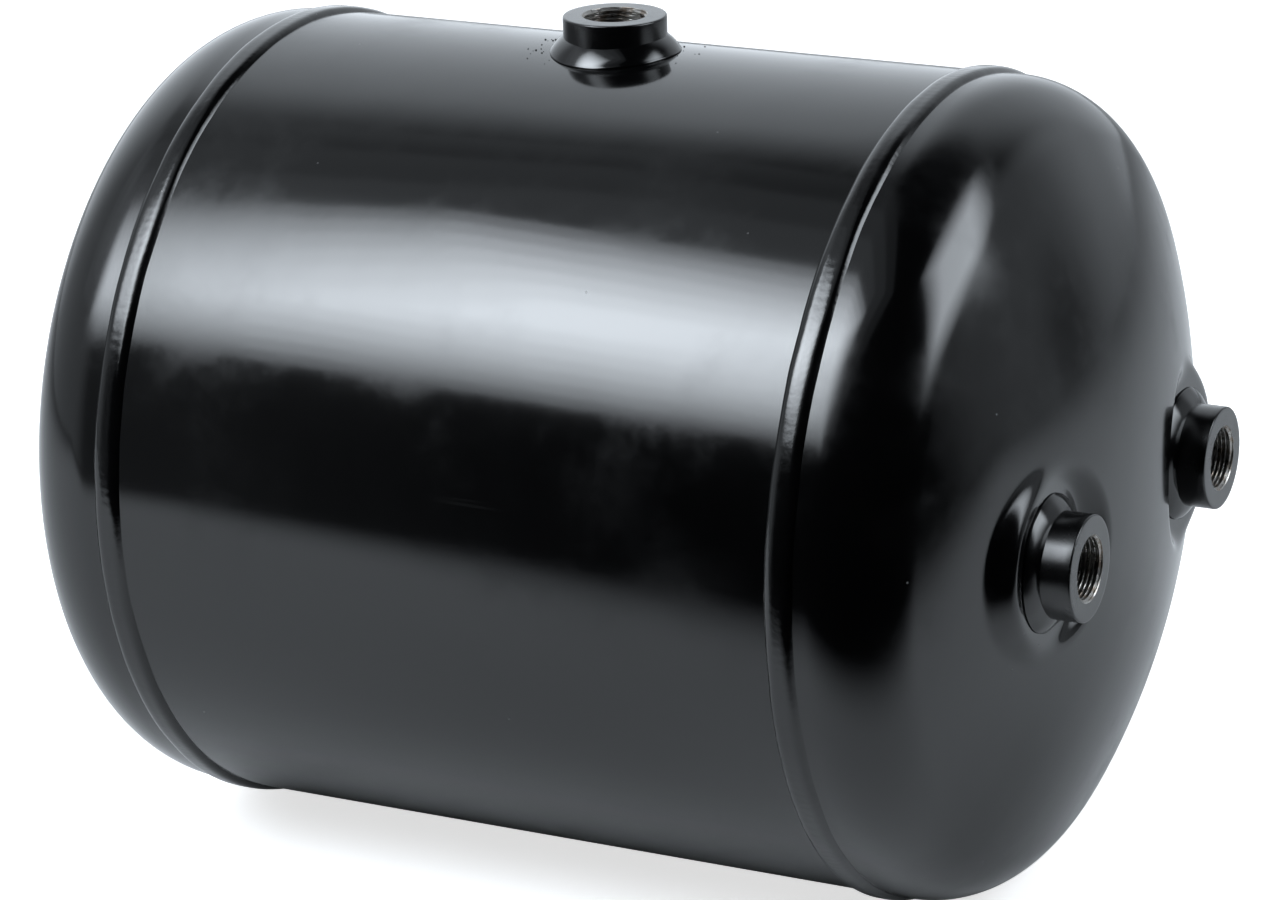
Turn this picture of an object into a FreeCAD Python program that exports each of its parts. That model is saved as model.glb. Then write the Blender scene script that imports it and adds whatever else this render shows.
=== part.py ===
"""Horizontal compressed-air reservoir: a rolled steel shell, two dished heads and three threaded ports.

Frame: X runs along the vessel's axis towards the head that has ports, and Z is up. The origin lies on the
floor, under the middle of the shell: the vessel rests there on the crests of its two girth welds.
Sizes are millimetres.
"""
import FreeCAD, Part
import os

import Sketcher

V = FreeCAD.Vector

DIMENSIONS = [
    # alias, value, what it is
    ("shell_diameter", 276.0, "outside diameter of the shell and of the heads' flanges"),
    ("shell_wall", 2.5, "wall of the rolled shell"),
    ("head_wall", 3.0, "wall of the dished heads"),
    ("girth_spacing", 245.0, "length of the shell, from one girth joint to the other"),
    ("flange_length", 9.0, "straight flange of a head, from its girth joint to its knuckle"),
    ("knuckle_radius", 33.0, "outside radius of a head's knuckle"),
    ("crown_radius", 262.0, "outside radius of a head's crown"),
    ("bead_width", 10.5, "width of a girth weld over its toes"),
    ("bead_height", 2.0, "height of a girth weld over the shell"),
    ("groove_depth", 1.5, "depth of the bevelled groove that a girth weld fills"),
    ("seam_width", 7.0, "width of the lengthwise seam weld"),
    ("seam_height", 1.0, "height of the seam weld over the shell"),
    ("seam_angle", -33.8, "place of the seam, in degrees above horizontal on the +Y side"),
    ("boss_diameter", 35.0, "outside diameter of a port boss"),
    ("boss_length", 17.0, "length of a port boss"),
    ("boss_stand", 12.0, "height of the top boss's face over the shell"),
    ("end_boss_stand", 14.0, "height of an end boss's face over its pressed seat"),
    ("boss_rim", 0.6, "rounding of a boss's outer rim"),
    ("mouth_chamfer", 0.9, "chamfer at the mouth of a port"),
    ("fillet_height", 4.3, "leg of a port weld up the boss"),
    ("fillet_reach", 5.2, "leg of a port weld along the wall"),
    ("fillet_round", 14.0, "radius that the face of a port weld bulges to"),
    ("saddle_drop", 3.5, "how far the shell port's weld reaches down to follow the round shell"),
    ("saddle_flare", 2.4, "how far the shell port's weld spreads over that drop"),
    ("port_offset", 60.0, "distance of each end port from the vessel's axis"),
    ("seat_sink", 2.0, "how far the middle of a pressed seat lies below the crown"),
    ("seat_radius", 24.5, "radius of the flat seat pressed into the head for an end port"),
    ("skirt_reach", 12.0, "width and height of the slope round a pressed seat"),
]

DERIVED = [
    ("shell_radius", "=shell_diameter / 2"),
    ("shell_bore", "=shell_diameter / 2 - shell_wall"),
    ("axis_height", "=shell_diameter / 2 + bead_height"),
    ("girth_place", "=girth_spacing / 2"),
    ("knuckle_place", "=girth_spacing / 2 + flange_length"),
    ("knuckle_height", "=shell_diameter / 2 - knuckle_radius"),
    ("crown_rise", "=sqrt((crown_radius - knuckle_radius)^2 - knuckle_height^2)"),
    ("crown_centre", "=knuckle_place - crown_rise"),
    ("shell_bevel", "=girth_place - groove_depth"),
    ("head_bevel", "=girth_place + groove_depth"),
    ("bevel_root", "=shell_radius - groove_depth"),
    ("shell_toe", "=girth_place - bead_width / 2"),
    ("head_toe", "=girth_place + bead_width / 2"),
    ("bead_round", "=((bead_width / 2)^2 + bead_height^2) / (2 * bead_height)"),
    ("seam_length", "=girth_spacing - bead_width"),
    ("seam_crest", "=shell_radius + seam_height"),
    ("seam_foot", "=sqrt(shell_radius^2 - (seam_width / 2)^2)"),
    ("seam_rise", "=seam_crest - seam_foot"),
    ("seam_round", "=(seam_rise^2 + (seam_width / 2)^2) / (2 * seam_rise)"),
    ("boss_radius", "=boss_diameter / 2"),
    ("fillet_toe", "=boss_diameter / 2 + fillet_reach"),
    ("saddle_toe", "=fillet_toe + saddle_flare"),
    ("saddle_top", "=saddle_drop + fillet_height"),
    ("saddle_place", "=shell_radius - saddle_drop"),
    ("seat_place", "=crown_centre + sqrt(crown_radius^2 - port_offset^2) - seat_sink"),
    ("end_face_place", "=seat_place + end_boss_stand"),
    ("top_face_height", "=axis_height + shell_radius + boss_stand"),
    ("skirt_radius", "=seat_radius + skirt_reach"),
]


def make_sheet(doc):
    """The spreadsheet of driving dimensions and of the sizes worked out from them."""
    sheet = doc.addObject("Spreadsheet::Sheet", "Dims")
    rows = [(alias, str(value), note) for alias, value, note in DIMENSIONS]
    rows += [(alias, formula, "worked out") for alias, formula in DERIVED]
    for row, (alias, content, note) in enumerate(rows, start=1):
        sheet.set(f"A{row}", alias)
        sheet.set(f"B{row}", content)
        sheet.set(f"C{row}", note)
        sheet.setAlias(f"B{row}", alias)
    doc.recompute()
    return sheet


def make_body(doc, label):
    """An empty body, named after the sub-part that it will hold."""
    body = doc.addObject("PartDesign::Body", label)
    body.Label = label
    return body


def sketch_on(body, role, name):
    """A sketch on one of the body's own origin planes."""
    sketch = body.newObject("Sketcher::SketchObject", name)
    plane = next(f for f in body.Origin.OriginFeatures if f.Role == role)
    sketch.AttachmentSupport = [(plane, "")]
    sketch.MapMode = "FlatFace"
    return sketch


def bind(sketch, kind, *where, to, value):
    """A dimensional constraint whose value comes from the spreadsheet."""
    index = sketch.addConstraint(Sketcher.Constraint(kind, *where, value))
    sketch.setExpression(f"Constraints[{index}]", to)


def place_point(sketch, geometry, end, point):
    """Fixes one end of a piece of geometry at a point, given as two (expression, value) pairs."""
    for kind, (expression, value) in zip(("DistanceX", "DistanceY"), point):
        if expression == "0":
            axis = -2 if kind == "DistanceX" else -1
            sketch.addConstraint(Sketcher.Constraint("PointOnObject", geometry, end, axis))
        else:
            bind(sketch, kind, -1, 1, geometry, end, to=expression, value=value)


def outline(sketch, sheet, corners, arcs=None):
    """A closed outline through corners, each a pair of spreadsheet expressions.

    arcs maps the number of a side to (radius expression, bulge): that side is an arc, which swells to the
    left of its run where bulge is 1 and to the right where it is -1.
    """
    points = [[(text, evaluate(sheet, text)) for text in corner] for corner in corners]
    flat = [V(point[0][1], point[1][1], 0) for point in points]
    arcs = arcs or {}
    sides = []
    for number, start in enumerate(flat):
        end = flat[(number + 1) % len(flat)]
        if number in arcs:
            radius_text, bulge = arcs[number]
            crest = crest_of(start, end, evaluate(sheet, radius_text), bulge)
            sides.append(add_arc(sketch, start, crest, end))
        else:
            sides.append((sketch.addGeometry(Part.LineSegment(start, end), False), 1, 2))
    for number, (geometry, _, last) in enumerate(sides):
        following, first, _ = sides[(number + 1) % len(sides)]
        sketch.addConstraint(Sketcher.Constraint("Coincident", geometry, last, following, first))
    for (geometry, first, _), point in zip(sides, points):
        place_point(sketch, geometry, first, point)
    for number, (radius_text, _) in arcs.items():
        bind(sketch, "Radius", sides[number][0], to=radius_text, value=evaluate(sheet, radius_text))


def evaluate(sheet, text):
    """The value of a spreadsheet expression, such as Dims.shell_radius."""
    sign = -1.0 if text.startswith("-") else 1.0
    name = text.lstrip("-")
    if name == "0":
        return 0.0
    return sign * float(getattr(sheet, name.removeprefix("Dims.")))


def add_arc(sketch, start, through, end):
    """An arc from start to end; returns its number, then the numbers of its ends at start and at end.

    A sketch counts an arc's ends anticlockwise, so a clockwise run is drawn from its other end.
    """
    turn = (through - start).cross(end - through).z
    first, last = (start, end) if turn > 0 else (end, start)
    geometry = sketch.addGeometry(Part.Arc(first, through, last), False)
    return (geometry, 1, 2) if turn > 0 else (geometry, 2, 1)


def crest_of(start, end, radius, bulge):
    """The middle of an arc from start to end, which swells to the left at bulge 1 and to the right at -1."""
    chord = end - start
    left = V(-chord.y, chord.x, 0).normalize()
    sagitta = radius - (radius**2 - (chord.Length / 2) ** 2) ** 0.5
    return (start + end) * 0.5 + left * (bulge * sagitta)


def revolve(body, sketch, axis, name):
    """A full turn of a sketch about one of its own axes."""
    feature = body.newObject("PartDesign::Revolution", name)
    feature.Profile = sketch
    feature.ReferenceAxis = (sketch, [axis])
    feature.Angle = 360.0
    return feature


def lift_to_axis(obj):
    """Raises an object that is drawn about X to the height of the vessel's axis."""
    obj.setExpression("Placement.Base.z", "Dims.axis_height")


def cut(doc, label, base, tool):
    """One solid less another."""
    feature = doc.addObject("Part::Cut", label)
    feature.Label = label
    feature.Base = base
    feature.Tool = tool
    return feature


def fuse(doc, label, base, tool):
    """Two solids joined in one."""
    feature = doc.addObject("Part::Fuse", label)
    feature.Label = label
    feature.Base = base
    feature.Tool = tool
    return feature


# ---- shell ----------------------------------------------------------------------------------------------


def make_shell(doc, sheet):
    """The rolled shell: its ends are bevelled for the girth welds, and it has one round hole on top."""
    body = make_body(doc, "shell")
    wall = sketch_on(body, "XZ_Plane", "ShellWall")
    corners = [
        ("Dims.girth_place", "Dims.bevel_root"),
        ("Dims.shell_bevel", "Dims.shell_radius"),
        ("-Dims.shell_bevel", "Dims.shell_radius"),
        ("-Dims.girth_place", "Dims.bevel_root"),
        ("-Dims.girth_place", "Dims.shell_bore"),
        ("Dims.girth_place", "Dims.shell_bore"),
    ]
    outline(wall, sheet, corners)
    tube = revolve(body, wall, "H_Axis", "Tube")
    doc.recompute()
    solid_volume = tube.Shape.Volume

    hole = sketch_on(body, "XY_Plane", "PortHole")
    circle = hole.addGeometry(Part.Circle(V(0, 0, 0), V(0, 0, 1), sheet.boss_radius), False)
    hole.addConstraint(Sketcher.Constraint("Coincident", circle, 3, -1, 1))
    bind(hole, "Radius", circle, to="Dims.boss_radius", value=sheet.boss_radius)
    pocket = body.newObject("PartDesign::Pocket", "PortOpening")
    pocket.Profile = hole
    pocket.Type = "ThroughAll"
    pocket.Reversed = True
    doc.recompute()
    if not pocket.Shape.Volume < solid_volume - 1.0:
        raise RuntimeError("the port opening cuts nothing")
    lift_to_axis(body)
    return body


def make_seam_weld(doc, sheet):
    """The lengthwise weld of the rolled shell: a low bead between the girth welds, away from the ports."""
    body = make_body(doc, "shell_seam_weld")
    section = sketch_on(body, "YZ_Plane", "SeamSection")
    half = sheet.seam_width / 2
    foot = sheet.seam_foot
    low, crest, high = V(foot, -half, 0), V(sheet.seam_crest, 0, 0), V(foot, half, 0)
    cap = section.addGeometry(Part.Arc(low, crest, high), False)
    root = section.addGeometry(Part.Arc(low, V(sheet.shell_radius, 0, 0), high), False)
    section.addConstraint(Sketcher.Constraint("Coincident", cap, 1, root, 1))
    section.addConstraint(Sketcher.Constraint("Coincident", cap, 2, root, 2))
    section.addConstraint(Sketcher.Constraint("Coincident", root, 3, -1, 1))
    section.addConstraint(Sketcher.Constraint("Symmetric", root, 1, root, 2, -1))
    bind(section, "Radius", root, to="Dims.shell_radius", value=sheet.shell_radius)
    bind(section, "DistanceY", root, 1, root, 2, to="Dims.seam_width", value=sheet.seam_width)
    bind(section, "Radius", cap, to="Dims.seam_round", value=sheet.seam_round)
    bead = body.newObject("PartDesign::Pad", "SeamBead")
    bead.Profile = section
    bead.SideType = "Symmetric"
    bead.setExpression("Length", "Dims.seam_length")
    body.Placement = FreeCAD.Placement(V(0, 0, 0), FreeCAD.Rotation(V(1, 0, 0), sheet.seam_angle))
    lift_to_axis(body)
    return body


# ---- heads ----------------------------------------------------------------------------------------------


def make_dome(doc, sheet, label, inset):
    """A solid dished dome with flange, knuckle and crown, smaller by the wall where inset is True."""
    body = make_body(doc, label)
    profile = sketch_on(body, "XZ_Plane", f"{label}_profile")
    wall = sheet.head_wall if inset else 0.0
    less = " - Dims.head_wall" if inset else ""
    knuckle = sheet.knuckle_radius - wall
    crown = sheet.crown_radius - wall
    lean = (V(sheet.crown_rise, sheet.knuckle_height, 0)).normalize()
    centre = V(sheet.knuckle_place, sheet.knuckle_height, 0)
    dish = V(sheet.crown_centre, 0, 0)
    start = V(sheet.girth_place, 0, 0)
    lip = V(sheet.girth_place, sheet.shell_radius - wall, 0)
    shoulder = centre + V(0, knuckle, 0)
    tangent = centre + lean * knuckle
    apex = dish + V(crown, 0, 0)
    bisector = (lean + V(0, 1, 0)).normalize()
    half_lean = (lean + V(1, 0, 0)).normalize()

    back = profile.addGeometry(Part.LineSegment(start, lip), False)
    flange = profile.addGeometry(Part.LineSegment(lip, shoulder), False)
    halfway = centre + bisector * knuckle
    knuckle_arc, knuckle_first, knuckle_last = add_arc(profile, shoulder, halfway, tangent)
    crown_arc, crown_first, crown_last = add_arc(profile, tangent, dish + half_lean * crown, apex)
    axis = profile.addGeometry(Part.LineSegment(apex, start), False)

    def join(one, one_end, other, other_end, kind="Coincident"):
        profile.addConstraint(Sketcher.Constraint(kind, one, one_end, other, other_end))

    join(back, 2, flange, 1)
    join(flange, 2, knuckle_arc, knuckle_first, "Tangent")
    join(knuckle_arc, knuckle_last, crown_arc, crown_first, "Tangent")
    join(crown_arc, crown_last, axis, 1)
    join(axis, 2, back, 1)
    profile.addConstraint(Sketcher.Constraint("Horizontal", flange))
    profile.addConstraint(Sketcher.Constraint("Vertical", back))
    profile.addConstraint(Sketcher.Constraint("PointOnObject", back, 1, -1))
    profile.addConstraint(Sketcher.Constraint("PointOnObject", axis, 1, -1))
    profile.addConstraint(Sketcher.Constraint("PointOnObject", crown_arc, 3, -1))
    bind(profile, "DistanceX", -1, 1, back, 1, to="Dims.girth_place", value=sheet.girth_place)
    bind(profile, "DistanceX", flange, 1, flange, 2, to="Dims.flange_length", value=sheet.flange_length)
    bind(profile, "DistanceY", -1, 1, flange, 1, to="Dims.shell_radius" + less, value=lip.y)
    bind(profile, "Radius", knuckle_arc, to="Dims.knuckle_radius" + less, value=knuckle)
    bind(profile, "Radius", crown_arc, to="Dims.crown_radius" + less, value=crown)
    revolve(body, profile, "H_Axis", f"{label}_turned")
    return body


def make_bevel(doc, sheet, label):
    """The ring of metal taken off a head's lip for the girth weld."""
    body = make_body(doc, label)
    section = sketch_on(body, "XZ_Plane", f"{label}_section")
    corners = [
        ("Dims.girth_place", "Dims.bevel_root"),
        ("Dims.head_bevel", "Dims.shell_radius"),
        ("Dims.girth_place", "Dims.shell_radius"),
    ]
    outline(section, sheet, corners)
    revolve(body, section, "H_Axis", f"{label}_turned")
    return body


def make_cone(doc, label, place_text, base_text, top_text, side, shift):
    """A frustum on a port's centre line, skirt_reach high along X; side is the port's side, -1 or 1."""
    cone = doc.addObject("Part::Cone", label)
    cone.Label = label
    cone.setExpression("Radius1", base_text)
    cone.setExpression("Radius2", top_text)
    cone.setExpression("Height", "Dims.skirt_reach")
    cone.Placement = FreeCAD.Placement(V(0, 0, 0), FreeCAD.Rotation(V(0, 1, 0), 90))
    cone.setExpression("Placement.Base.x", place_text + shift)
    cone.setExpression("Placement.Base.y", f"{side} * Dims.port_offset")
    return cone


def press_seats(doc, name, dome, shift):
    """A dome with both pressed seats: metal is raised on the falling side of each and sunk on the other."""
    shaped = dome
    for side, end in ((-1, "front"), (1, "rear")):
        rise = make_cone(doc, f"{name}_{end}_rise", "Dims.seat_place - Dims.skirt_reach",
                         "Dims.skirt_radius", "Dims.seat_radius", side, shift)
        sink = make_cone(doc, f"{name}_{end}_sink", "Dims.seat_place",
                         "Dims.seat_radius", "Dims.skirt_radius", side, shift)
        shaped = fuse(doc, f"{name}_{end}_raised", shaped, rise)
        shaped = cut(doc, f"{name}_{end}_pressed", shaped, sink)
    return shaped


def make_port_drill(doc, end, side):
    """The round hole through the head for an end port's boss."""
    drill = doc.addObject("Part::Cylinder", f"{end}_port_drill")
    drill.setExpression("Radius", "Dims.boss_radius")
    drill.setExpression("Height", "4 * Dims.skirt_reach")
    drill.Placement = FreeCAD.Placement(V(0, 0, 0), FreeCAD.Rotation(V(0, 1, 0), 90))
    drill.setExpression("Placement.Base.x", "Dims.seat_place - 2 * Dims.skirt_reach")
    drill.setExpression("Placement.Base.y", f"{side} * Dims.port_offset")
    return drill


def make_plain_head(doc, sheet):
    """The head without ports, turned to face -X."""
    outer = make_dome(doc, sheet, "plain_dome", inset=False)
    inner = make_dome(doc, sheet, "plain_hollow", inset=True)
    hollowed = cut(doc, "plain_hollowed", outer, inner)
    head = cut(doc, "plain_head", hollowed, make_bevel(doc, sheet, "plain_bevel"))
    head.Placement = FreeCAD.Placement(V(0, 0, 0), FreeCAD.Rotation(V(0, 0, 1), 180))
    lift_to_axis(head)
    return head


def make_ported_head(doc, sheet):
    """The head with two flat seats pressed in it, each holding a port."""
    outer = press_seats(doc, "dome", make_dome(doc, sheet, "ported_dome", inset=False), "")
    hollow = make_dome(doc, sheet, "ported_hollow", inset=True)
    inner = press_seats(doc, "hollow", hollow, " - Dims.head_wall")
    head = cut(doc, "ported_hollowed", outer, inner)
    head = cut(doc, "ported_bevelled", head, make_bevel(doc, sheet, "ported_bevel"))
    head = cut(doc, "front_drilled", head, make_port_drill(doc, "front", -1))
    head = cut(doc, "ported_head", head, make_port_drill(doc, "rear", 1))
    lift_to_axis(head)
    return head


def make_girth_weld(doc, sheet, label, turned):
    """The weld between the shell and a head: a convex bead on a V-shaped root, begun at the shell's seam."""
    body = make_body(doc, label)
    section = sketch_on(body, "XZ_Plane", f"{label}_section")
    corners = [
        ("Dims.shell_toe", "Dims.shell_radius"),
        ("Dims.head_toe", "Dims.shell_radius"),
        ("Dims.head_bevel", "Dims.shell_radius"),
        ("Dims.girth_place", "Dims.bevel_root"),
        ("Dims.shell_bevel", "Dims.shell_radius"),
    ]
    outline(section, sheet, corners, {0: ("Dims.bead_round", 1)})
    revolve(body, section, "H_Axis", f"{label}_turned")
    start = FreeCAD.Rotation(V(1, 0, 0), sheet.seam_angle - 90.0)
    body.Placement = FreeCAD.Placement(V(0, 0, 0), start * FreeCAD.Rotation(V(0, 0, 1), turned))
    lift_to_axis(body)
    return body


# ---- ports ----------------------------------------------------------------------------------------------


def make_boss(doc, sheet, label):
    """A turned boss with a threaded port right through it; its face lies at the local origin, facing +Z."""
    body = make_body(doc, label)
    disc = sketch_on(body, "XY_Plane", f"{label}_disc")
    circle = disc.addGeometry(Part.Circle(V(0, 0, 0), V(0, 0, 1), sheet.boss_radius), False)
    disc.addConstraint(Sketcher.Constraint("Coincident", circle, 3, -1, 1))
    bind(disc, "Radius", circle, to="Dims.boss_radius", value=sheet.boss_radius)
    stock = body.newObject("PartDesign::Pad", f"{label}_stock")
    stock.Profile = disc
    stock.Reversed = True
    stock.setExpression("Length", "Dims.boss_length")
    doc.recompute()
    rim = next(f"Edge{n}" for n, edge in enumerate(stock.Shape.Edges, start=1)
               if len(edge.Vertexes) == 1 and abs(edge.CenterOfMass.z) < 1e-6)
    rounding = body.newObject("PartDesign::Fillet", f"{label}_rim")
    rounding.Base = (stock, [rim])
    rounding.setExpression("Radius", "Dims.boss_rim")
    doc.recompute()
    solid_volume = rounding.Shape.Volume

    mark = sketch_on(body, "XY_Plane", f"{label}_centre")
    dot = mark.addGeometry(Part.Circle(V(0, 0, 0), V(0, 0, 1), 1.0), False)
    mark.addConstraint(Sketcher.Constraint("Coincident", dot, 3, -1, 1))
    mark.addConstraint(Sketcher.Constraint("Radius", dot, 1.0))
    doc.recompute()
    port = body.newObject("PartDesign::Hole", f"{label}_thread")
    port.Profile = mark
    port.ThreadType = "ISOMetricFineProfile"
    port.ThreadSize = "M22x1.5"
    port.Threaded = True
    port.DepthType = "ThroughAll"
    port.HoleCutType = "Countersink"
    port.HoleCutCountersinkAngle = 90.0
    port.setExpression("HoleCutDiameter", "Diameter + 2 * Dims.mouth_chamfer * 1 mm")
    doc.recompute()
    if not port.Shape.Volume < solid_volume - 1.0:
        raise RuntimeError(f"{label}: the port cuts nothing")
    return body


def make_end_weld(doc, sheet, label):
    """The slightly bulging weld round an end port, standing on the flat seat at local z = 0."""
    body = make_body(doc, label)
    section = sketch_on(body, "XZ_Plane", f"{label}_section")
    corners = [
        ("Dims.boss_radius", "0"),
        ("Dims.boss_radius", "Dims.fillet_height"),
        ("Dims.fillet_toe", "0"),
    ]
    outline(section, sheet, corners, {1: ("Dims.fillet_round", 1)})
    revolve(body, section, "V_Axis", f"{label}_turned")
    return body


def make_top_weld(doc, sheet):
    """The slightly bulging weld round the shell's port, fitted to the round shell."""
    skirt = make_body(doc, "top_weld_skirt")
    section = sketch_on(skirt, "XZ_Plane", "top_weld_section")
    corners = [
        ("Dims.boss_radius", "0"),
        ("Dims.boss_radius", "Dims.saddle_top"),
        ("Dims.fillet_toe", "Dims.saddle_drop"),
        ("Dims.saddle_toe", "0"),
    ]
    outline(section, sheet, corners, {1: ("Dims.fillet_round", 1)})
    revolve(skirt, section, "V_Axis", "top_weld_turned")
    skirt.setExpression("Placement.Base.z", "Dims.saddle_place")
    former = doc.addObject("Part::Cylinder", "shell_former")
    former.setExpression("Radius", "Dims.shell_radius")
    former.setExpression("Height", "4 * Dims.saddle_toe")
    former.Placement = FreeCAD.Placement(V(0, 0, 0), FreeCAD.Rotation(V(0, 1, 0), 90))
    former.setExpression("Placement.Base.x", "-2 * Dims.saddle_toe")
    weld = cut(doc, "top_port_weld", skirt, former)
    lift_to_axis(weld)
    return weld


def face_along_x(obj, place_text, side):
    """Turns an object to face +X and puts it on an end port's centre line; side is -1 or 1."""
    obj.Placement = FreeCAD.Placement(V(0, 0, 0), FreeCAD.Rotation(V(0, 1, 0), 90))
    obj.setExpression("Placement.Base.x", place_text)
    obj.setExpression("Placement.Base.y", f"{side} * Dims.port_offset")
    lift_to_axis(obj)


# ---- assembly -------------------------------------------------------------------------------------------


def build(doc):
    """All sub-parts of the vessel, each in its own place."""
    sheet = make_sheet(doc)
    parts = [
        make_shell(doc, sheet),
        make_seam_weld(doc, sheet),
        make_plain_head(doc, sheet),
        make_ported_head(doc, sheet),
        make_girth_weld(doc, sheet, "plain_end_girth_weld", 180.0),
        make_girth_weld(doc, sheet, "ported_end_girth_weld", 0.0),
    ]
    top_boss = make_boss(doc, sheet, "top_port_boss")
    top_boss.setExpression("Placement.Base.z", "Dims.top_face_height")
    parts += [top_boss, make_top_weld(doc, sheet)]
    for side, end in ((-1, "front"), (1, "rear")):
        boss = make_boss(doc, sheet, f"{end}_port_boss")
        face_along_x(boss, "Dims.end_face_place", side)
        weld = make_end_weld(doc, sheet, f"{end}_port_weld")
        face_along_x(weld, "Dims.seat_place", side)
        parts += [boss, weld]
    doc.recompute()
    return parts


def check(doc, parts):
    """Stops the build where anything in the document has failed."""
    for obj in doc.Objects:
        if "Invalid" in obj.State or "Error" in obj.State:
            raise RuntimeError(f"{obj.Label}: {obj.State}")
    for part in parts:
        if part.Shape.isNull() or not part.Shape.isValid() or len(part.Shape.Solids) != 1:
            raise RuntimeError(f"{part.Label}: not one sound solid")


def export(parts):
    """Writes each sub-part to its own file, named after its label."""
    os.makedirs("parts", exist_ok=True)
    for part in parts:
        part.Shape.exportStep(os.path.join("parts", f"{part.Label}.step"))


document = FreeCAD.newDocument("AirReservoir")
subparts = build(document)
check(document, subparts)
export(subparts)
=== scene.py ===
"""Looks of a compressed-air reservoir: gloss black paint over welded steel, with bare threads in its ports.

Places and outer sizes come from the boxes of the CAD nodes. Wall, knuckle, seat and thread sizes, which no
box gives, are named below. Lengths are metres, angles radians.
"""

import math

import bmesh
import bpy
import numpy as np
from mathutils import Matrix, Vector


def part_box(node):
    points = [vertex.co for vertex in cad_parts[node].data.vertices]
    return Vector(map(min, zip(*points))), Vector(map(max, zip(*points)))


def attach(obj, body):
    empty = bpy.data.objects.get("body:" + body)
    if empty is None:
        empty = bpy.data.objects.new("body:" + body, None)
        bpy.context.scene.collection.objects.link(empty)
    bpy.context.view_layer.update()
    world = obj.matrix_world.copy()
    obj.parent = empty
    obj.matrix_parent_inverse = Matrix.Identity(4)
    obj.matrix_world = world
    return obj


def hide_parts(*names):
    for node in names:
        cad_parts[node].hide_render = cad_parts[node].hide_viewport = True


MM = 0.001
FINE = 0.01 * MM
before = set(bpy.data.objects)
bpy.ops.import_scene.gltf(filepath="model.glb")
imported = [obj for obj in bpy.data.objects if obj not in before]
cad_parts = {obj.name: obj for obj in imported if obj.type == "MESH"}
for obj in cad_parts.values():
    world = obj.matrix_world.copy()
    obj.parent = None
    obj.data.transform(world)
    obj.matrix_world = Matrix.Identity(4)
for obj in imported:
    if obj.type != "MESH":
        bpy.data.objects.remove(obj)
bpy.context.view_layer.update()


# ---- sizes ----------------------------------------------------------------------------------------------


def span(node):
    """The lowest and highest corner of a CAD node, as arrays."""
    low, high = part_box(node)
    return np.array(low), np.array(high)


shell_low, shell_high = span("shell")
RADIUS = (shell_high[1] - shell_low[1]) / 2
AXIS = (shell_low[2] + shell_high[2]) / 2
JOINT = shell_high[0]
APEX = -span("plain_head")[0][0]
bead_low, bead_high = span("ported_end_girth_weld")
BEAD_HALF = (bead_high[0] - bead_low[0]) / 2
BEAD_RISE = (bead_high[1] - bead_low[1]) / 2 - RADIUS
boss_low, boss_high = span("top_port_boss")
BOSS_RADIUS = (boss_high[0] - boss_low[0]) / 2
BOSS_LENGTH = boss_high[2] - boss_low[2]
end_weld_low, end_weld_high = span("front_port_weld")
WELD_TOE = (end_weld_high[1] - end_weld_low[1]) / 2
WELD_RISE = end_weld_high[0] - end_weld_low[0]
SEAT = end_weld_low[0]
PORT_OFFSET = abs(end_weld_high[1] + end_weld_low[1]) / 2

# Sizes that no box gives.
SHELL_WALL = 2.5 * MM
HEAD_WALL = 3.0 * MM
FLANGE = 9.0 * MM
KNUCKLE = 33.0 * MM
SEAT_FLAT = 24.6 * MM
SEAT_BLEND = 10.0 * MM
PITCH = 1.5 * MM
THREAD_MINOR = 10.19 * MM
THREAD_MAJOR = 11.0 * MM
DRILL_LENGTH = 30 * MM
DRILL_SIDES = 96
BORE_MOUTH = THREAD_MINOR + 0.95 * MM
BOSS_RIM = 0.6 * MM
HIDDEN_EDGE = 0.05 * MM

# The weld of the top port is taller and narrower than those of the end ports.
TOP_WELD_CLIMB = 1.3 * MM
TOP_WELD_NARROWING = 0.45 * MM


# ---- mesh tools -----------------------------------------------------------------------------------------


def new_object(name, vertices, faces):
    """An object from arrays of vertices and faces."""
    mesh = bpy.data.meshes.new(name)
    mesh.from_pydata([tuple(v) for v in vertices], [], [tuple(f) for f in faces])
    mesh.validate()
    mesh.update()
    obj = bpy.data.objects.new(name, mesh)
    bpy.context.scene.collection.objects.link(obj)
    return obj


def grid_faces(rows, columns, wrap_rows, wrap_columns):
    """Quads over a grid of rows by columns, numbered row by row, outward for a right-handed grid."""
    r = np.arange(rows if wrap_rows else rows - 1)
    c = np.arange(columns if wrap_columns else columns - 1)
    r, c = np.meshgrid(r, c, indexing="ij")
    r, c = r.ravel(), c.ravel()
    r2, c2 = (r + 1) % rows, (c + 1) % columns
    return np.stack([r * columns + c, r2 * columns + c, r2 * columns + c2, r * columns + c2], axis=1)


def finish_mesh(obj, sharp_degrees, merge=1e-6):
    """Merges doubled points, turns the faces outward and shades smooth up to an angle."""
    work = bmesh.new()
    work.from_mesh(obj.data)
    bmesh.ops.remove_doubles(work, verts=work.verts, dist=merge)
    bmesh.ops.dissolve_degenerate(work, edges=work.edges, dist=merge)
    bmesh.ops.recalc_face_normals(work, faces=work.faces)
    work.to_mesh(obj.data)
    work.free()
    obj.data.shade_smooth()
    obj.data.set_sharp_from_angle(angle=math.radians(sharp_degrees))


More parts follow.
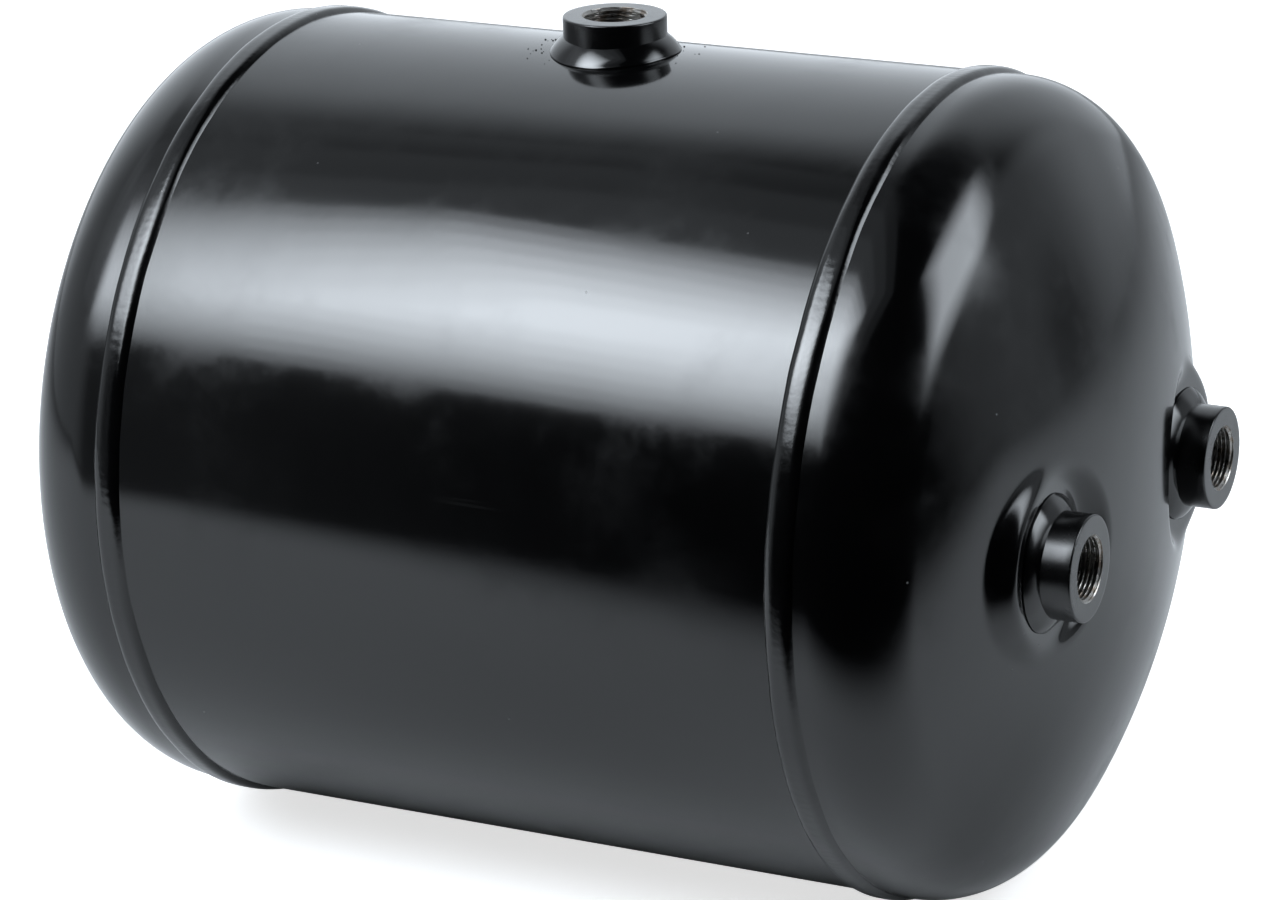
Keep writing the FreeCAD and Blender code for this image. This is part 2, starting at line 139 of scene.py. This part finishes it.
def drill(obj, places):
    """Cuts a round hole of the bosses' radius through an object at each of the given places."""
    for number, matrix in enumerate(places):
        angles = around_once(DRILL_SIDES)
        ring = np.stack([BOSS_RADIUS * np.cos(angles), BOSS_RADIUS * np.sin(angles)], axis=1)
        low = [(x, y, -DRILL_LENGTH / 2) for x, y in ring]
        high = [(x, y, DRILL_LENGTH / 2) for x, y in ring]
        corners = [(i, (i + 1) % DRILL_SIDES) for i in range(DRILL_SIDES)]
        sides = [(i, j, DRILL_SIDES + j, DRILL_SIDES + i) for i, j in corners]
        caps = [tuple(reversed(range(DRILL_SIDES))), tuple(range(DRILL_SIDES, 2 * DRILL_SIDES))]
        cutter = new_object(f"cutter_{number}", low + high, sides + caps)
        cutter.matrix_world = matrix
        modifier = obj.modifiers.new("hole", "BOOLEAN")
        modifier.operation = "DIFFERENCE"
        modifier.solver = "EXACT"
        modifier.object = cutter
        bpy.context.view_layer.update()
        evaluated = obj.evaluated_get(bpy.context.evaluated_depsgraph_get())
        drilled = bpy.data.meshes.new_from_object(evaluated)
        obj.modifiers.remove(modifier)
        obj.data = drilled
        bpy.data.objects.remove(cutter)


def waves(positions, seed, counts, heights):
    """A smooth periodic wander of positions in turns: a sum of sine waves with seeded phases."""
    phases = np.random.RandomState(seed).uniform(0, 2 * math.pi, len(counts))
    total = np.zeros_like(positions)
    for count, height, phase in zip(counts, heights, phases):
        total += height * np.sin(2 * math.pi * count * positions + phase)
    return total


def soft_step(low, high, value):
    """0 below low, 1 above high, and between them a rise without kinks in its slope or its curvature."""
    t = np.clip((value - low) / (high - low), 0, 1)
    return t**3 * (t * (6 * t - 15) + 10)


def around_once(turns):
    """Angles once round the circle, without the last one."""
    return np.linspace(0, 2 * math.pi, turns, endpoint=False)


def about_x(x, rho, angle):
    """Points at a distance rho from the vessel's axis; angle 0 is +Y and a quarter turn is +Z."""
    return np.stack([x, rho * np.cos(angle), AXIS + rho * np.sin(angle)], axis=-1)


def facing_x(x, y):
    """The place of a port that faces +X."""
    return Matrix.Translation((x, y, AXIS)) @ Matrix.Rotation(math.pi / 2, 4, "Y")


# ---- the dished head ------------------------------------------------------------------------------------

KNUCKLE_X = JOINT + FLANGE
KNUCKLE_RHO = RADIUS - KNUCKLE
CROWN = ((APEX - KNUCKLE_X) ** 2 + KNUCKLE_RHO**2 - KNUCKLE**2) / (2 * (APEX - KNUCKLE_X - KNUCKLE))
CROWN_X = APEX - CROWN


def head_meridian(inset, crown_rings, knuckle_rings):
    """(x, rho) from the pole out to the lip, on the surface that lies inset under the outer one."""
    lean = math.atan2(KNUCKLE_RHO, KNUCKLE_X - CROWN_X)
    crown = np.linspace(0, lean, crown_rings)
    knuckle = np.linspace(lean, math.pi / 2, knuckle_rings)[1:]
    x = np.concatenate([CROWN_X + (CROWN - inset) * np.cos(crown),
                        KNUCKLE_X + (KNUCKLE - inset) * np.cos(knuckle),
                        np.linspace(KNUCKLE_X, JOINT, 6)[1:]])
    rho = np.concatenate([(CROWN - inset) * np.sin(crown),
                          KNUCKLE_RHO + (KNUCKLE - inset) * np.sin(knuckle),
                          np.full(5, RADIUS - inset)])
    return x, rho


def press_seats(points, inset):
    """Draws the dome's points on to the two flat seats, with a smooth blend round each."""
    for side in (-1, 1):
        reach = np.hypot(points[..., 1] - side * PORT_OFFSET, points[..., 2] - AXIS)
        weight = 1 - soft_step(SEAT_FLAT, SEAT_FLAT + SEAT_BLEND, reach)
        near = points[..., 0] > 0
        points[..., 0] += np.where(near, weight * (SEAT - inset - points[..., 0]), 0)
    return points


def make_head(name, ported):
    """A dished head, hollow, with its two seats and port holes where it has them."""
    turns = 384
    angle = around_once(turns)
    surfaces = []
    for inset, crown_rings, knuckle_rings in ((0.0, 104, 34), (HEAD_WALL, 52, 14)):
        x, rho = head_meridian(inset, crown_rings, knuckle_rings)
        points = about_x(*np.broadcast_arrays(x[:, None], rho[:, None], angle[None, :]))
        if ported:
            points = press_seats(points, inset)
        surfaces.append(points)
    outer, inner = surfaces
    rings = np.concatenate([outer, inner[::-1]], axis=0)
    if not ported:
        rings[..., 0] *= -1
    head = new_object(name, rings.reshape(-1, 3), grid_faces(len(rings), turns, False, True))
    finish_mesh(head, 50)
    if ported:
        drill(head, [facing_x(SEAT, side * PORT_OFFSET) for side in (-1, 1)])
        finish_mesh(head, 50)
    return head


# ---- shell and seams ------------------------------------------------------------------------------------


def make_shell():
    """The rolled shell, a tube with its port hole."""
    turns, rings = 320, 92
    angle = around_once(turns)
    x = np.concatenate([np.linspace(-JOINT, JOINT, rings), np.linspace(JOINT, -JOINT, 24)])
    rho = np.concatenate([np.full(rings, RADIUS), np.full(24, RADIUS - SHELL_WALL)])
    points = about_x(*np.broadcast_arrays(x[:, None], rho[:, None], angle[None, :]))
    shell = new_object("shell_skin", points.reshape(-1, 3), grid_faces(rings + 24, turns, True, True))
    finish_mesh(shell, 50)
    drill(shell, [Matrix.Translation((0, 0, AXIS + RADIUS))])
    finish_mesh(shell, 50)
    return shell


def make_girth_weld(name, side, seed):
    """A machine-laid bead right round the vessel: domed, with fine ripples and slightly wandering toes."""
    turns, ribs = 2400, 15
    turn = np.linspace(0, 1, turns, endpoint=False)
    across = np.linspace(-1, 1, ribs)
    grid_turn, grid_across = np.meshgrid(turn, across, indexing="ij")
    half = BEAD_HALF - 0.35 * MM
    width = half + waves(turn, seed, (5, 11, 23, 47, 90), np.array((8, 7, 5, 3, 1.2)) * FINE)
    shift = waves(turn, seed + 1, (3, 7, 17, 31), np.array((7, 7, 5, 3)) * FINE)
    height = BEAD_RISE - 0.32 * MM
    crest = height + waves(turn, seed + 2, (4, 9, 19, 43, 83), np.array((7, 6, 4, 2, 0.8)) * FINE)
    wander = waves(turn, seed + 3, (6, 13, 29), (0.5, 0.3, 0.2))[:, None]
    ripple_phase = 270 * grid_turn + 0.55 * grid_across**2 + wander
    strength = np.clip(0.5 + waves(turn, seed + 4, (3, 8, 21, 37), (0.5, 0.4, 0.3, 0.2)), 0.1, 1.2)[:, None]
    ripple = 0.007 * MM * strength * np.sin(2 * math.pi * ripple_phase) * (1 - grid_across**2)
    dome = 1 - np.abs(grid_across) ** 4.2
    rho = RADIUS + crest[:, None] * dome + ripple
    x = JOINT + shift[:, None] + width[:, None] * grid_across
    rho[:, 0] = rho[:, -1] = RADIUS - HIDDEN_EDGE
    root_x = np.broadcast_to(JOINT, turns)
    root_rho = np.full(turns, RADIUS - 1.4 * MM)
    x = np.concatenate([x, root_x[:, None]], axis=1)
    rho = np.concatenate([rho, root_rho[:, None]], axis=1)
    angle = 2 * math.pi * np.repeat(turn[:, None], ribs + 1, axis=1)
    points = about_x(side * x, rho, angle)
    weld = new_object(name, points.reshape(-1, 3), grid_faces(turns, ribs + 1, True, True))
    finish_mesh(weld, 55)
    return weld


def make_seam_weld():
    """The low bead along the rolled shell's seam."""
    low, high = span("shell_seam_weld")
    angle = math.atan2((low[2] + high[2]) / 2 - AXIS, (low[1] + high[1]) / 2)
    rings, ribs = 520, 11
    along = np.linspace(0, 1, rings)
    across = np.linspace(-1, 1, ribs)
    grid_along, grid_across = np.meshgrid(along, across, indexing="ij")
    half = 3.2 * MM + waves(along, 61, (5, 12, 26), np.array((8, 7, 6)) * FINE)[:, None]
    crest = 0.80 * MM + waves(along, 62, (4, 11, 27), np.array((5, 5, 4)) * FINE)[:, None]
    ripple_phase = 95 * grid_along + 0.5 * grid_across**2
    ripple = 0.03 * MM * np.sin(2 * math.pi * ripple_phase) * (1 - grid_across**2)
    rho = RADIUS + crest * (1 - np.abs(grid_across) ** 2.2) + ripple
    rho[:, 0] = rho[:, -1] = RADIUS - 0.1 * MM
    x = low[0] + (high[0] - low[0]) * grid_along
    angles = angle + half * grid_across / RADIUS
    root = np.full((rings, 1), RADIUS - 0.6 * MM)
    rho = np.concatenate([rho, root], axis=1)
    x = np.concatenate([x, x[:, :1]], axis=1)
    angles = np.concatenate([angles, np.full((rings, 1), angle)], axis=1)
    points = about_x(x, rho, angles)
    faces = grid_faces(rings, ribs + 1, False, True).tolist()
    faces += [list(range(ribs + 1)), list(range((rings - 1) * (ribs + 1), rings * (ribs + 1)))]
    weld = new_object("seam_bead", points.reshape(-1, 3), faces)
    finish_mesh(weld, 55)
    return weld


# ---- ports ----------------------------------------------------------------------------------------------


def turned(profile_r, profile_z, angle):
    """Points at a radius and a height, turned to an angle about the boss's axis."""
    return np.stack([profile_r * np.cos(angle), profile_r * np.sin(angle), profile_z], axis=-1)


def thread_radius(depth, angle):
    """The radius of a right-hand internal thread at a depth below the mouth."""
    phase = (depth / PITCH + angle / (2 * math.pi)) % 1.0
    ridge = np.abs(phase - 0.5) * 2
    tooth = np.clip((ridge - 0.16) / 0.62, 0, 1)
    return THREAD_MAJOR - (THREAD_MAJOR - THREAD_MINOR) * tooth


def make_boss(name, place):
    """A turned boss with rounded rim and a cut thread. place puts the centre of its mouth in the vessel."""
    turns = 96
    angle = around_once(turns)
    rim = BOSS_RIM
    bend = np.linspace(0, math.pi / 2, 7)
    outer_r = np.concatenate([[THREAD_MAJOR + 0.1 * MM, BOSS_RADIUS], [BOSS_RADIUS] * 8,
                              BOSS_RADIUS - rim + rim * np.cos(bend)])
    outer_z = np.concatenate([[-BOSS_LENGTH, -BOSS_LENGTH], np.linspace(-BOSS_LENGTH, -rim, 9)[1:],
                              -rim + rim * np.sin(bend)])
    face_r = np.linspace(BOSS_RADIUS - rim, BORE_MOUTH, 6)[1:]
    face_z = np.zeros(5)
    outside_r = np.concatenate([outer_r, face_r])
    outside_z = np.concatenate([outer_z, face_z])
    depth = np.linspace(0, BOSS_LENGTH, 182)[1:]
    grid_depth, grid_angle = np.meshgrid(depth, angle, indexing="ij")
    bore = thread_radius(grid_depth, grid_angle)
    mouth = BORE_MOUTH - grid_depth
    tail = BORE_MOUTH - (BOSS_LENGTH - grid_depth)
    bore = np.maximum(bore, np.maximum(mouth, tail))
    rings_r = np.concatenate([np.repeat(outside_r[:, None], turns, axis=1), bore])
    rings_z = np.concatenate([np.repeat(outside_z[:, None], turns, axis=1), -grid_depth])
    points = turned(rings_r, rings_z, angle[None, :])
    flat = points.reshape(-1, 3)
    flat = np.array([place @ Vector(p) for p in flat])
    boss = new_object(name, flat, grid_faces(len(points), turns, True, True))
    for number, polygon in enumerate(boss.data.polygons):
        ring = number // turns
        polygon.material_index = 1 if len(outside_r) - 1 <= ring < len(points) - 1 else 0
    finish_mesh(boss, 32, merge=1e-7)
    return boss


def make_port_weld(name, place, on_shell, seed):
    """The slightly bulging weld round a boss, with a rounded toe. On the shell it follows the curve."""
    turns, ribs = 320, 12
    turn = np.linspace(0, 1, turns, endpoint=False)
    angle = 2 * math.pi * turn
    slide = np.linspace(0, 1, ribs)
    reach = WELD_TOE - (TOP_WELD_NARROWING if on_shell else 0)
    height = WELD_RISE + (TOP_WELD_CLIMB if on_shell else 0)
    foot = reach - 0.15 * MM + waves(turn, seed, (2, 3, 5, 9, 17), np.array((8, 6, 6, 4, 2)) * FINE)
    rise = height - 0.25 * MM + waves(turn, seed + 1, (2, 4, 7, 13), np.array((7, 5, 4, 3)) * FINE)
    toe = 0.65 * MM + waves(turn, seed + 2, (3, 8, 15), np.array((8, 6, 4)) * FINE)
    lean = math.atan2(height, reach - BOSS_RADIUS)
    bulge = 0.30 * MM * 4 * slide * (1 - slide)
    across = foot[:, None] - BOSS_RADIUS - 0.12 * MM
    r = BOSS_RADIUS - HIDDEN_EDGE + across * slide + bulge * math.sin(lean)
    z = toe[:, None] + (rise - toe)[:, None] * (1 - slide) + bulge * math.cos(lean)
    inner = np.full(turns, BOSS_RADIUS - HIDDEN_EDGE)
    r = np.stack([*r.T, foot, foot, foot - 0.10 * MM, foot - 1.2 * MM, inner], axis=1)
    under = np.full(turns, -0.9 * MM)
    z = np.stack([*z.T, 0.72 * toe, 0.38 * toe, np.zeros(turns), under, under], axis=1)
    if on_shell:
        z = z + np.sqrt(RADIUS**2 - (r * np.sin(angle)[:, None]) ** 2) - RADIUS
    points = turned(r, z, angle[:, None]).reshape(-1, 3)
    faces = grid_faces(turns, ribs + 5, True, True)
    if on_shell:
        drops, drop_faces = spatter(foot.mean(), seed + 3)
        faces = np.concatenate([faces, drop_faces + len(points)])
        points = np.concatenate([points, drops])
    points = np.array([place @ Vector(p) for p in points])
    weld = new_object(name, points, faces)
    finish_mesh(weld, 45)
    return weld


def spatter(reach, seed):
    """Small drops of weld spatter on the shell round the top port, most of them on one side."""
    random = np.random.RandomState(seed)
    ring = around_once(10)
    rings = ((1.0, -0.3), (0.92, 0.35), (0.6, 0.75), (0.04, 0.95))
    drops, faces = [], []
    for number in range(30):
        around = math.pi * (random.normal(1.0, 0.16) if number < 22 else random.uniform(-0.25, 0.25))
        away = reach + random.uniform(0.4, 9.0) * MM
        size = random.uniform(0.16, 0.42) * MM
        x, y = away * math.cos(around), away * math.sin(around)
        drop = [(x + size * k * math.cos(a), y + size * k * math.sin(a), size * h)
                for k, h in rings for a in ring]
        drops += [(px, py, pz + math.sqrt(RADIUS**2 - py**2) - RADIUS) for px, py, pz in drop]
        faces.append(grid_faces(len(rings), len(ring), False, True) + len(drop) * number)
    return np.array(drops), np.concatenate(faces)


# ---- materials ------------------------------------------------------------------------------------------


class Nodes:
    """A small helper that adds and links the nodes of one material."""

    def __init__(self, name):
        self.material = bpy.data.materials.new(name)
        self.material.use_nodes = True
        self.tree = self.material.node_tree
        self.shader = self.tree.nodes["Principled BSDF"]
        self.place = self.add("ShaderNodeTexCoord").outputs["Object"]

    def add(self, kind, **inputs):
        node = self.tree.nodes.new(kind)
        for name, value in inputs.items():
            node.inputs[name.replace("_", " ")].default_value = value
        return node

    def link(self, output, socket):
        self.tree.links.new(output, socket)

    def noise(self, scale, detail=2.0, roughness=0.5, source=None):
        node = self.add("ShaderNodeTexNoise", Scale=scale, Detail=detail, Roughness=roughness)
        self.link(source or self.place, node.inputs["Vector"])
        return node.outputs["Fac"]

    def stretched(self, scale, turn=(0.0, 0.0, 0.0)):
        node = self.add("ShaderNodeMapping", Scale=scale, Rotation=turn)
        self.link(self.place, node.inputs["Vector"])
        return node.outputs["Vector"]

    def remap(self, value, low, high, to_low, to_high, smooth=True):
        node = self.add("ShaderNodeMapRange")
        node.interpolation_type = "SMOOTHSTEP" if smooth else "LINEAR"
        for name, number in (("From Min", low), ("From Max", high), ("To Min", to_low), ("To Max", to_high)):
            node.inputs[name].default_value = number
        self.link(value, node.inputs["Value"])
        return node.outputs["Result"]

    def maths(self, operation, one, other):
        node = self.add("ShaderNodeMath")
        node.operation = operation
        for socket, value in zip(node.inputs, (one, other)):
            if isinstance(value, (int, float)):
                socket.default_value = value
            else:
                self.link(value, socket)
        return node.outputs["Value"]

    def mix(self, factor, one, other):
        node = self.tree.nodes.new("ShaderNodeMix")
        node.data_type = "RGBA"
        self.link(factor, node.inputs["Factor"])
        node.inputs["A"].default_value = (*one, 1.0)
        node.inputs["B"].default_value = (*other, 1.0)
        return node.outputs["Result"]

    def bump(self, height, distance, strength=1.0, after=None):
        node = self.add("ShaderNodeBump", Strength=strength, Distance=distance)
        self.link(height, node.inputs["Height"])
        if after is not None:
            self.link(after, node.inputs["Normal"])
        return node.outputs["Normal"]


def black_paint(name, roughness, peel, grain=330.0):
    """Gloss black paint: faint orange peel, cloudy smears, dust specks and fine scratches."""
    n = Nodes(name)
    n.shader.inputs["IOR"].default_value = 1.5
    cloud = n.remap(n.noise(16.0, 6.0, 0.66), 0.44, 0.70, 0.0, 1.0)
    speck_field = n.add("ShaderNodeTexVoronoi", Scale=95.0, Randomness=1.0)
    n.link(n.place, speck_field.inputs["Vector"])
    rare = n.remap(n.noise(38.0, 0.0), 0.60, 0.64, 0.0, 1.0)
    speck = n.maths("MULTIPLY", n.remap(speck_field.outputs["Distance"], 0.045, 0.02, 0.0, 1.0), rare)
    scratch_wave = n.noise(1.0, 1.0, 0.4, source=n.stretched((9.0, 300.0, 260.0), (0.3, 0.2, 0.12)))
    scratch_place = n.remap(n.noise(9.0, 2.0), 0.58, 0.68, 0.0, 1.0)
    scratch = n.maths("MULTIPLY", n.remap(scratch_wave, 0.735, 0.76, 0.0, 1.0), scratch_place)
    marks = n.maths("MAXIMUM", speck, n.maths("MULTIPLY", scratch, 0.04))
    n.link(n.mix(marks, (0.0010, 0.0010, 0.0011), (0.11, 0.11, 0.11)), n.shader.inputs["Base Color"])
    rough = n.remap(n.noise(5.0, 3.0), 0.3, 0.7, roughness - 0.02, roughness + 0.02)
    rough = n.maths("ADD", rough, n.maths("MULTIPLY", cloud, 0.13))
    n.link(n.maths("ADD", rough, n.maths("MULTIPLY", marks, 0.3)), n.shader.inputs["Roughness"])
    wave = n.bump(n.noise(16.0, 2.0), 0.4 * MM, 0.5)
    skin = n.bump(n.noise(grain, 3.0), peel * MM, 0.5, after=wave)
    n.link(skin, n.shader.inputs["Normal"])
    return n.material


def bare_thread(name):
    """Bare cut steel with a brown bloom."""
    n = Nodes(name)
    n.shader.inputs["Metallic"].default_value = 1.0
    bloom = n.remap(n.noise(260.0, 4.0, 0.6), 0.45, 0.62, 0.0, 1.0)
    n.link(n.mix(bloom, (0.32, 0.31, 0.295), (0.17, 0.14, 0.115)), n.shader.inputs["Base Color"])
    n.link(n.remap(n.noise(500.0, 2.0), 0.3, 0.7, 0.26, 0.42), n.shader.inputs["Roughness"])
    return n.material


def pale_floor(name):
    """A plain white floor with painted shade that darkens it towards its near edge, and lit up for the
    camera.
    """
    n = Nodes(name)
    split = n.tree.nodes.new("ShaderNodeSeparateXYZ")
    n.link(n.place, split.inputs["Vector"])
    # Painted shade: the floor's colour fades to black over the 16 cm next to its near edge.
    n.link(n.mix(n.remap(split.outputs["Y"], 0.0, 0.16, 0.0, 1.0), (0.0, 0.0, 0.0), (0.76, 0.76, 0.76)),
           n.shader.inputs["Base Color"])
    n.shader.inputs["Roughness"].default_value = 0.65
    n.shader.inputs["Emission Color"].default_value = (1.0, 1.0, 1.0, 1.0)
    seen = n.tree.nodes.new("ShaderNodeLightPath").outputs["Is Camera Ray"]
    n.link(n.maths("MULTIPLY", seen, 0.7), n.shader.inputs["Emission Strength"])
    return n.material


# ---- studio ---------------------------------------------------------------------------------------------

VIEW_TURN = math.radians(27.15)
VIEW_LIFT = math.radians(18.30)
VIEW_ROLL = math.radians(-1.46)
COOL = (0.86, 0.93, 1.0)


def add_camera():
    """The camera, long-lensed, at the front right and a little above."""
    flat = math.cos(VIEW_LIFT)
    back = Vector((math.sin(VIEW_TURN) * flat, -math.cos(VIEW_TURN) * flat, math.sin(VIEW_LIFT)))
    level = Vector((math.cos(VIEW_TURN), math.sin(VIEW_TURN), 0))
    upright = back.cross(level)
    right = math.cos(VIEW_ROLL) * level + math.sin(VIEW_ROLL) * upright
    up = -math.sin(VIEW_ROLL) * level + math.cos(VIEW_ROLL) * upright
    data = bpy.data.cameras.new("camera")
    data.sensor_width = 36.0
    data.lens = 136.94
    data.clip_start, data.clip_end = 0.05, 50.0
    camera = bpy.data.objects.new("camera", data)
    bpy.context.scene.collection.objects.link(camera)
    matrix = Matrix((right, up, back)).transposed().to_4x4()
    matrix.translation = Vector((0.7307, -1.4145, AXIS + 0.5229))
    camera.matrix_world = matrix
    bpy.context.scene.camera = camera


def add_softbox(name, bearing, lift, distance, core, edge, radiance, layers=7):
    """A soft light that is brightest in its core and fades to its edge: layers of growing size that add up.

    The vessel sees it at a bearing (0 is -Y, positive towards +X) and a height angle, in degrees. core and
    edge are (width, height).
    """
    bearing, lift = math.radians(bearing), math.radians(lift)
    level = math.cos(lift)
    direction = Vector((math.sin(bearing) * level, -math.cos(bearing) * level, math.sin(lift)))
    turn = direction.to_track_quat("Z", "Y").to_matrix().to_4x4()
    for layer in range(layers):
        share = layer / (layers - 1)
        data = bpy.data.lights.new(f"{name}_{layer}", "AREA")
        data.shape = "RECTANGLE"
        data.color = COOL
        data.size = core[0] + share * (edge[0] - core[0])
        data.size_y = core[1] + share * (edge[1] - core[1])
        data.energy = radiance / layers * data.size * data.size_y * math.pi
        light = bpy.data.objects.new(f"{name}_{layer}", data)
        light.matrix_world = turn
        light.location = Vector((0, 0, AXIS)) + direction * (distance + 0.01 * layer)
        light.visible_camera = False
        bpy.context.scene.collection.objects.link(light)


def add_floor():
    """A pale table top whose near edge lies a little in front of the vessel."""
    floor = new_object("floor", [(-3, 0, 0), (3, 0, 0), (3, 4, 0), (-3, 4, 0)], [(0, 1, 2, 3)])
    turn = Matrix.Rotation(math.radians(32.1), 4, "Z")
    floor.matrix_world = Matrix.Translation((-0.2, -0.615, -0.0002)) @ turn
    floor.data.materials.append(pale_floor("floor_white"))


def light_world():
    """White behind the vessel for the camera; for the reflections, a bright rear left and a black front."""
    world = bpy.data.worlds.new("studio")
    bpy.context.scene.world = world
    world.use_nodes = True
    tree = world.node_tree
    nodes, links = tree.nodes, tree.links
    nodes.clear()
    place = nodes.new("ShaderNodeTexCoord").outputs["Generated"]

    def lobe(direction, low, high, value):
        dot = nodes.new("ShaderNodeVectorMath")
        dot.operation = "DOT_PRODUCT"
        links.new(place, dot.inputs[0])
        dot.inputs[1].default_value = Vector(direction).normalized()
        ramp = nodes.new("ShaderNodeMapRange")
        ramp.interpolation_type = "SMOOTHSTEP"
        ramp.inputs["From Min"].default_value = low
        ramp.inputs["From Max"].default_value = high
        ramp.inputs["To Max"].default_value = value
        links.new(dot.outputs["Value"], ramp.inputs["Value"])
        return ramp.outputs["Result"]

    def combine(operation, one, other):
        node = nodes.new("ShaderNodeMath")
        node.operation = operation
        links.new(one, node.inputs[0])
        links.new(other, node.inputs[1])
        return node.outputs["Value"]

    left_wall = lobe((-0.98, 0.17, 0.0), 0.25, 0.65, 0.65)
    right_wall = lobe((0.72, 0.70, 0.1), 0.84, 0.96, 0.45)
    rear_wall = lobe((-0.35, 0.87, 0.35), 0.50, 0.90, 0.95)
    below_ceiling = lobe((0.0, 0.0, -1.0), -0.92, -0.74, 1.0)
    dark_panel = lobe((0.66, 0.75, 0.0), 0.988, 0.999, 0.25)
    walls = combine("ADD", combine("ADD", left_wall, right_wall), rear_wall)
    room = combine("SUBTRACT", combine("MULTIPLY", walls, below_ceiling), dark_panel)
    seen = nodes.new("ShaderNodeBackground")
    seen.inputs["Color"].default_value = (1.0, 1.0, 1.0, 1.0)
    lit = nodes.new("ShaderNodeBackground")
    lit.inputs["Color"].default_value = (*COOL, 1.0)
    links.new(room, lit.inputs["Strength"])
    path = nodes.new("ShaderNodeLightPath")
    mix = nodes.new("ShaderNodeMixShader")
    links.new(path.outputs["Is Camera Ray"], mix.inputs["Fac"])
    links.new(lit.outputs["Background"], mix.inputs[1])
    links.new(seen.outputs["Background"], mix.inputs[2])
    output = nodes.new("ShaderNodeOutputWorld")
    links.new(mix.outputs["Shader"], output.inputs["Surface"])


# ---- assembly -------------------------------------------------------------------------------------------


def dress(piece, node, materials):
    """Gives a piece its materials and puts it in place of a CAD node."""
    for material in materials:
        piece.data.materials.append(material)
    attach(piece, "root")
    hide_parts(node)


paint = black_paint("black_gloss_paint", 0.11, 0.010)
boss_paint = black_paint("black_boss_paint", 0.20, 0.010)
bead_paint = black_paint("black_bead_paint", 0.12, 0.09, grain=480.0)
steel = bare_thread("bare_thread_steel")

dress(make_shell(), "shell", [paint])
dress(make_seam_weld(), "shell_seam_weld", [paint])
dress(make_head("plain_head_skin", False), "plain_head", [paint])
dress(make_head("ported_head_skin", True), "ported_head", [paint])
dress(make_girth_weld("plain_end_bead", -1, 11), "plain_end_girth_weld", [bead_paint])
dress(make_girth_weld("ported_end_bead", 1, 31), "ported_end_girth_weld", [bead_paint])

top_mouth = Matrix.Translation((0, 0, boss_high[2]))
dress(make_boss("top_boss_turned", top_mouth), "top_port_boss", [boss_paint, steel])
top_foot = Matrix.Translation((0, 0, AXIS + RADIUS))
dress(make_port_weld("top_port_fillet", top_foot, True, 71), "top_port_weld", [paint])
for end, side, seed in (("front", -1, 81), ("rear", 1, 91)):
    mouth_x = span(f"{end}_port_boss")[1][0]
    boss = make_boss(f"{end}_boss_turned", facing_x(mouth_x, side * PORT_OFFSET))
    dress(boss, f"{end}_port_boss", [boss_paint, steel])
    fillet = make_port_weld(f"{end}_port_fillet", facing_x(SEAT, side * PORT_OFFSET), False, seed)
    dress(fillet, f"{end}_port_weld", [paint])

add_floor()
add_softbox("key", -33, 45, 1.75, (0.20, 0.22), (1.14, 1.36), 19.0)
add_softbox("glow", -40, 56, 1.9, (1.3, 1.2), (2.4, 2.3), 0.6, layers=3)
add_softbox("side", 104, 34, 1.6, (0.50, 0.55), (1.05, 1.25), 8.0)
light_world()
add_camera()
bpy.context.scene.view_settings.view_transform = "Standard"
